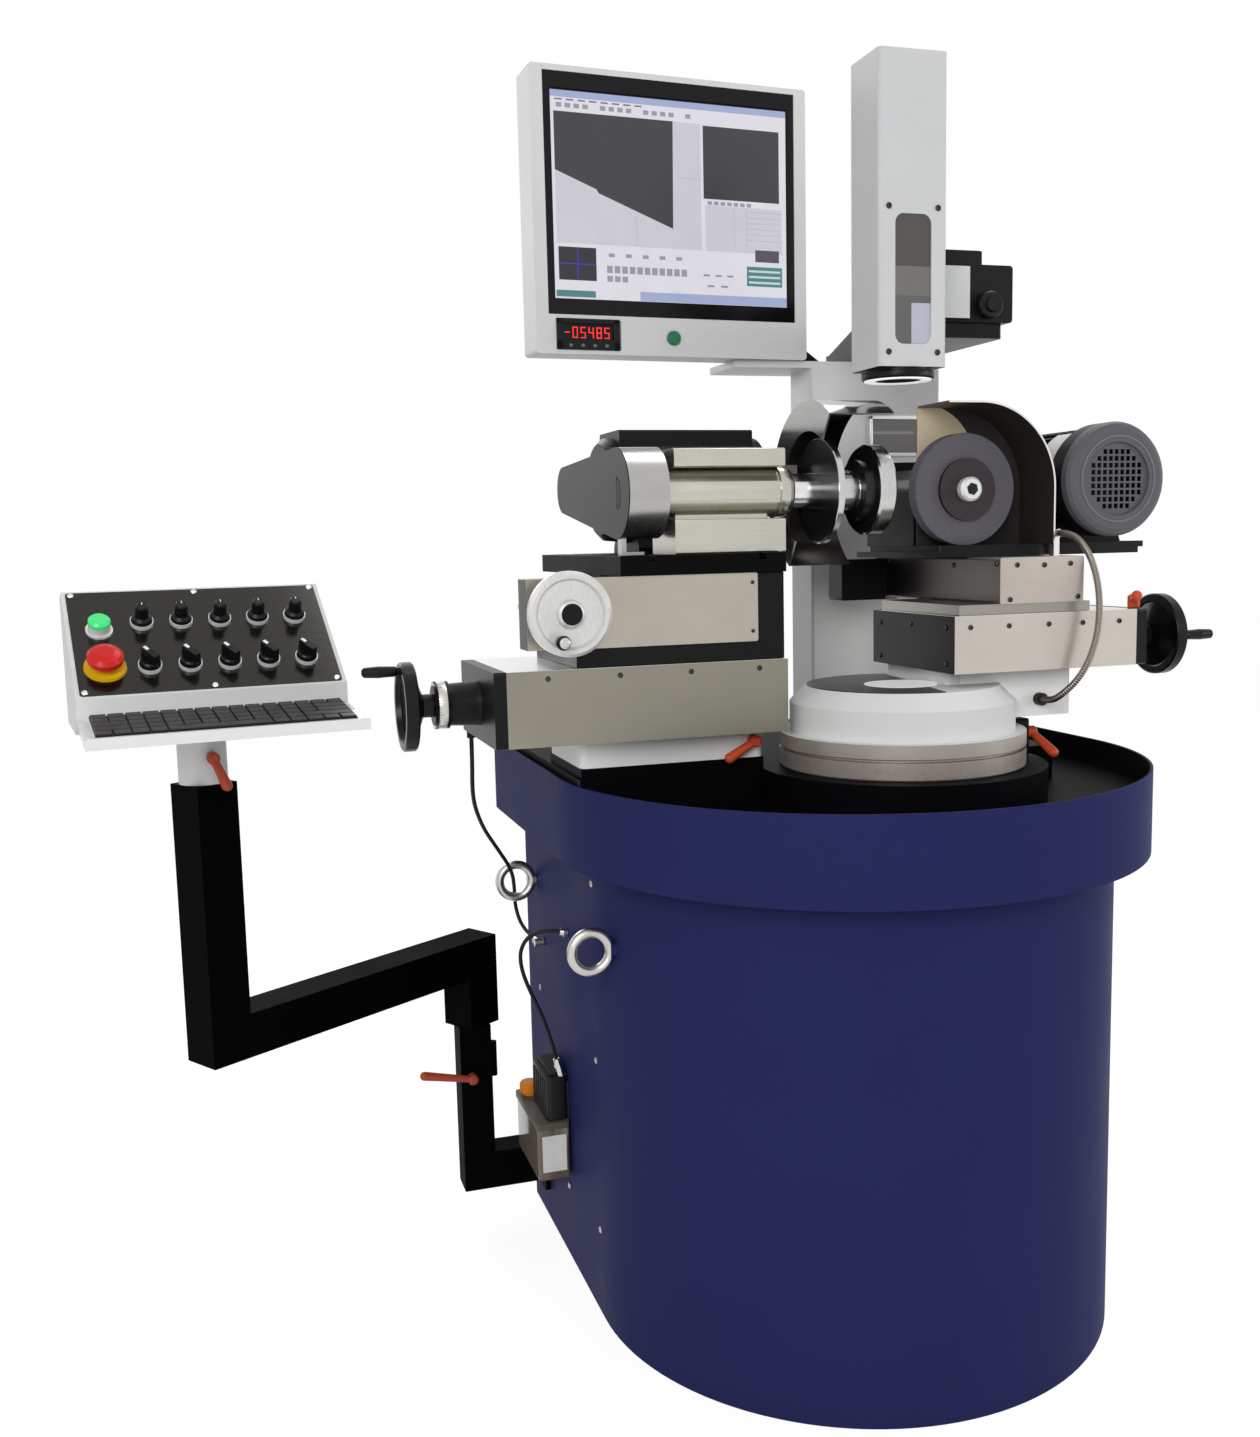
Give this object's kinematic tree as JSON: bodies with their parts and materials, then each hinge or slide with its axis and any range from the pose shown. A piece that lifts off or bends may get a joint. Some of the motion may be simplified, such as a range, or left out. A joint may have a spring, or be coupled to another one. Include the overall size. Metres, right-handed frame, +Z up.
{
  "type": "optical tool grinding and wheel truing machine",
  "caption": "Floor-standing toolroom machine that trues grinding wheels under a camera, with crossed hand slides, a swivelling dressing head, coolant tray, monitor and swing-arm console.",
  "frame": {"origin": "on the floor under the turntable's swivel axis and the camera's axis", "axes": "+X right and +Z up as the operator faces it, +Y to the back"},
  "size_m": [1.5278, 0.827, 1.7383],
  "materials": {
    "navy_paint": "satin powder coat",
    "white_paint": "satin powder coat",
    "black_paint": "satin",
    "stainless": "brushed sheet",
    "steel": "ground",
    "aluminium": "turned",
    "grey_paint": "satin",
    "abrasive": "gritty",
    "orange_plastic": "moulded",
    "black_plastic": "moulded",
    "red_plastic": "moulded",
    "green_plastic": "lit",
    "screen": "display",
    "tank_plastic": "translucent",
    "rubber": "matte",
    "conduit_grey": "ribbed"
  },
  "bodies": {
    "base": {"pedestal": "navy_paint", "coolant_tray": "navy_paint", "turntable_base": "steel", "work_slide_base": "white_paint", "work_slide_housing": "stainless", "column": "white_paint", "camera_arm": "black_paint", "arm_post": "black_paint", "lubricator": "tank_plastic", "lube_hose_upper": "rubber", "lube_hose_lower": "rubber"},
    "work_crank": {"work_crank": "black_paint"},
    "work_saddle": {"work_saddle": "black_paint", "cross_cover": "stainless"},
    "cross_handwheel": {"cross_handwheel": "aluminium"},
    "headstock": {"work_table": "black_paint", "headstock": "steel", "belt_cover": "grey_paint", "work_belt": "rubber", "work_motor": "black_paint", "work_guard": "grey_paint"},
    "work_spindle": {"work_spindle": "steel", "work_wheel": "aluminium"},
    "work_motor_pulley": {"work_motor_pulley": "steel"},
    "turntable": {"turntable_disc": "white_paint", "dress_slide_housing": "stainless"},
    "dress_handwheel": {"dress_handwheel": "black_paint"},
    "dress_saddle": {"dress_cross_housing": "stainless", "conduit": "conduit_grey"},
    "dress_head": {"dress_head": "black_paint", "dress_guard": "grey_paint", "dress_motor": "black_paint"},
    "dress_spindle": {"dress_spindle": "steel", "dress_wheel": "abrasive"},
    "monitor": {"monitor_housing": "white_paint", "monitor_screen": "screen"},
    "monitor_button": {"monitor_button": "green_plastic"},
    "camera_stage": {"camera_stage": "black_paint"},
    "camera": {"camera_housing": "white_paint"},
    "camera_knob_x": {"camera_knob_x": "black_plastic"},
    "camera_knob_y": {"camera_knob_y": "black_plastic"},
    "console_arm": {"console_arm": "black_paint"},
    "console": {"console_box": "white_paint"},
    "start_button": {"start_button": "green_plastic"},
    "e_stop": {"e_stop": "red_plastic"},
    "work_base_lever": {"work_base_lever": "orange_plastic"},
    "turntable_lever": {"turntable_lever": "orange_plastic"},
    "dress_lever": {"dress_lever": "orange_plastic"},
    "arm_lever": {"arm_lever": "orange_plastic"},
    "neck_lever": {"neck_lever": "orange_plastic"},
    "speed_knob_1": {"speed_knob_1": "black_plastic"},
    "selector_1": {"selector_1": "black_plastic"},
    "speed_knob_2": {"speed_knob_2": "black_plastic"},
    "selector_2": {"selector_2": "black_plastic"},
    "speed_knob_3": {"speed_knob_3": "black_plastic"},
    "selector_3": {"selector_3": "black_plastic"},
    "speed_knob_4": {"speed_knob_4": "black_plastic"},
    "selector_4": {"selector_4": "black_plastic"},
    "speed_knob_5": {"speed_knob_5": "black_plastic"},
    "selector_5": {"selector_5": "black_plastic"}
  },
  "joints": [
    {"name": "work_crank_turn", "type": "hinge", "parent": "base", "child": "work_crank", "pos_m": [-0.609, 0.1075, 0.884], "axis": [1, 0, 0], "range_deg": [-2161, 361]},
    {"name": "work_x", "type": "slide", "parent": "base", "child": "work_saddle", "axis": [1, 0, 0], "range_m": [-0.06, 0.01]},
    {"name": "cross_turn", "type": "hinge", "parent": "work_saddle", "child": "cross_handwheel", "pos_m": [-0.462, 0, 1.0013], "axis": [0, 1, 0], "range_deg": [-721, 1801]},
    {"name": "table_y", "type": "slide", "parent": "work_saddle", "child": "headstock", "axis": [0, 1, 0], "range_m": [-0.02, 0.05]},
    {"name": "work_spin", "type": "hinge", "parent": "headstock", "child": "work_spindle", "pos_m": [-0.318, 0.062, 1.1471], "axis": [1, 0, 0], "continuous": true},
    {"name": "work_motor_spin", "type": "hinge", "parent": "headstock", "child": "work_motor_pulley", "pos_m": [-0.318, 0.326, 1.1611], "axis": [1, 0, 0], "continuous": true},
    {"name": "turntable_swivel", "type": "hinge", "parent": "base", "child": "turntable", "pos_m": [0, 0, 0.785], "axis": [0, 0, 1], "range_deg": [-30, 5]},
    {"name": "dress_crank_turn", "type": "hinge", "parent": "turntable", "child": "dress_handwheel", "pos_m": [0.314, 0.0185, 0.9383], "axis": [1, 0, 0], "range_deg": [-289, 1801]},
    {"name": "dress_x", "type": "slide", "parent": "turntable", "child": "dress_saddle", "axis": [1, 0, 0], "range_m": [-0.008, 0.05]},
    {"name": "dress_y", "type": "slide", "parent": "dress_saddle", "child": "dress_head", "axis": [0, 1, 0], "range_m": [-0.005, 0.03]},
    {"name": "dress_spin", "type": "hinge", "parent": "dress_head", "child": "dress_spindle", "pos_m": [0.095, 0, 1.1444], "axis": [0, 1, 0], "continuous": true},
    {"name": "monitor_swivel", "type": "hinge", "parent": "base", "child": "monitor", "pos_m": [-0.012, 0.4, 1.35], "axis": [0, 0, 1], "range_deg": [-20, 20]},
    {"name": "monitor_press", "type": "slide", "parent": "monitor", "child": "monitor_button", "axis": [-0.0715, 0.9974, 0], "range_m": [0, 0.003], "stiffness_N_per_m": 400, "springref_m": -0.002},
    {"name": "stage_knob_y_turn", "type": "hinge", "parent": "camera_stage", "child": "camera_knob_y", "pos_m": [0.16, 0.058, 1.3923], "axis": [0, 1, 0], "range_deg": [-1441, 1441]},
    {"name": "stage_y", "type": "slide", "parent": "base", "child": "camera_stage", "axis": [0, 1, 0], "range_m": [-0.008, 0.008]},
    {"name": "stage_knob_x_turn", "type": "hinge", "parent": "camera_stage", "child": "camera_knob_x", "pos_m": [0.2, 0.1, 1.4233], "axis": [1, 0, 0], "range_deg": [-1441, 1441]},
    {"name": "camera_x", "type": "slide", "parent": "camera_stage", "child": "camera", "axis": [1, 0, 0], "range_m": [-0.008, 0.008]},
    {"name": "arm_swing", "type": "hinge", "parent": "base", "child": "console_arm", "pos_m": [-0.51, 0.465, 0.333], "axis": [0, 0, 1], "range_deg": [-70, 0]},
    {"name": "console_swivel", "type": "hinge", "parent": "console_arm", "child": "console", "pos_m": [-0.89447, 0.21245, 0.789], "axis": [0, 0, 1], "range_deg": [-60, 6]},
    {"name": "start_press", "type": "slide", "parent": "console", "child": "start_button", "axis": [-0.0847, 0.6181, -0.7815], "range_m": [0, 0.003], "stiffness_N_per_m": 400, "springref_m": -0.002},
    {"name": "stop_press", "type": "slide", "parent": "console", "child": "e_stop", "axis": [-0.0847, 0.6181, -0.7815], "range_m": [0, 0.005], "stiffness_N_per_m": 600, "springref_m": -0.002},
    {"name": "work_base_lever_turn", "type": "hinge", "parent": "base", "child": "work_base_lever", "pos_m": [-0.196, 0.0447, 0.8215], "axis": [0, -1, 0], "range_deg": [-28, 10]},
    {"name": "turntable_lever_turn", "type": "hinge", "parent": "base", "child": "turntable_lever", "pos_m": [0.1893, 0, 0.813], "axis": [1, 0, 0], "range_deg": [-40, 25]},
    {"name": "dress_lever_turn", "type": "hinge", "parent": "turntable", "child": "dress_lever", "pos_m": [0.306, -0.075, 0.9826], "axis": [0, 0, 1], "range_deg": [0, 70]},
    {"name": "arm_lever_turn", "type": "hinge", "parent": "base", "child": "arm_lever", "pos_m": [-0.518, 0.4397, 0.252], "axis": [0, -1, 0], "range_deg": [-30, 40]},
    {"name": "neck_lever_turn", "type": "hinge", "parent": "console", "child": "neck_lever", "pos_m": [-0.8823, 0.18252, 0.825], "axis": [0.1357, -0.9907, 0], "range_deg": [-40, 40]},
    {"name": "speed_1_turn", "type": "hinge", "parent": "console", "child": "speed_knob_1", "pos_m": [-0.95659, 0.18701, 0.99834], "axis": [0.0847, -0.6181, 0.7815], "range_deg": [-140, 140]},
    {"name": "selector_1_turn", "type": "hinge", "parent": "console", "child": "selector_1", "pos_m": [-0.94811, 0.12507, 0.94843], "axis": [0.0847, -0.6181, 0.7815], "range_deg": [-45, 45]},
    {"name": "speed_2_turn", "type": "hinge", "parent": "console", "child": "speed_knob_2", "pos_m": [-0.90973, 0.19343, 0.99834], "axis": [0.0847, -0.6181, 0.7815], "range_deg": [-140, 140]},
    {"name": "selector_2_turn", "type": "hinge", "parent": "console", "child": "selector_2", "pos_m": [-0.90125, 0.13149, 0.94843], "axis": [0.0847, -0.6181, 0.7815], "range_deg": [-45, 45]},
    {"name": "speed_3_turn", "type": "hinge", "parent": "console", "child": "speed_knob_3", "pos_m": [-0.86287, 0.19985, 0.99834], "axis": [0.0847, -0.6181, 0.7815], "range_deg": [-140, 140]},
    {"name": "selector_3_turn", "type": "hinge", "parent": "console", "child": "selector_3", "pos_m": [-0.85438, 0.13791, 0.94843], "axis": [0.0847, -0.6181, 0.7815], "range_deg": [-45, 45]},
    {"name": "speed_4_turn", "type": "hinge", "parent": "console", "child": "speed_knob_4", "pos_m": [-0.81601, 0.20627, 0.99834], "axis": [0.0847, -0.6181, 0.7815], "range_deg": [-140, 140]},
    {"name": "selector_4_turn", "type": "hinge", "parent": "console", "child": "selector_4", "pos_m": [-0.80752, 0.14433, 0.94843], "axis": [0.0847, -0.6181, 0.7815], "range_deg": [-45, 45]},
    {"name": "speed_5_turn", "type": "hinge", "parent": "console", "child": "speed_knob_5", "pos_m": [-0.76914, 0.21269, 0.99834], "axis": [0.0847, -0.6181, 0.7815], "range_deg": [-140, 140]},
    {"name": "selector_5_turn", "type": "hinge", "parent": "console", "child": "selector_5", "pos_m": [-0.76066, 0.15074, 0.94843], "axis": [0.0847, -0.6181, 0.7815], "range_deg": [-45, 45]}
  ],
  "couplings": [
    {"joint": "work_crank_turn", "follows": "work_x", "rad_per_m": 628.32},
    {"joint": "cross_turn", "follows": "table_y", "rad_per_m": 628.32},
    {"joint": "work_motor_spin", "follows": "work_spin", "ratio": 1.9048},
    {"joint": "dress_crank_turn", "follows": "dress_x", "rad_per_m": 628.32},
    {"joint": "stage_knob_y_turn", "follows": "stage_y", "rad_per_m": 3141.6},
    {"joint": "stage_knob_x_turn", "follows": "camera_x", "rad_per_m": 3141.6}
  ]
}
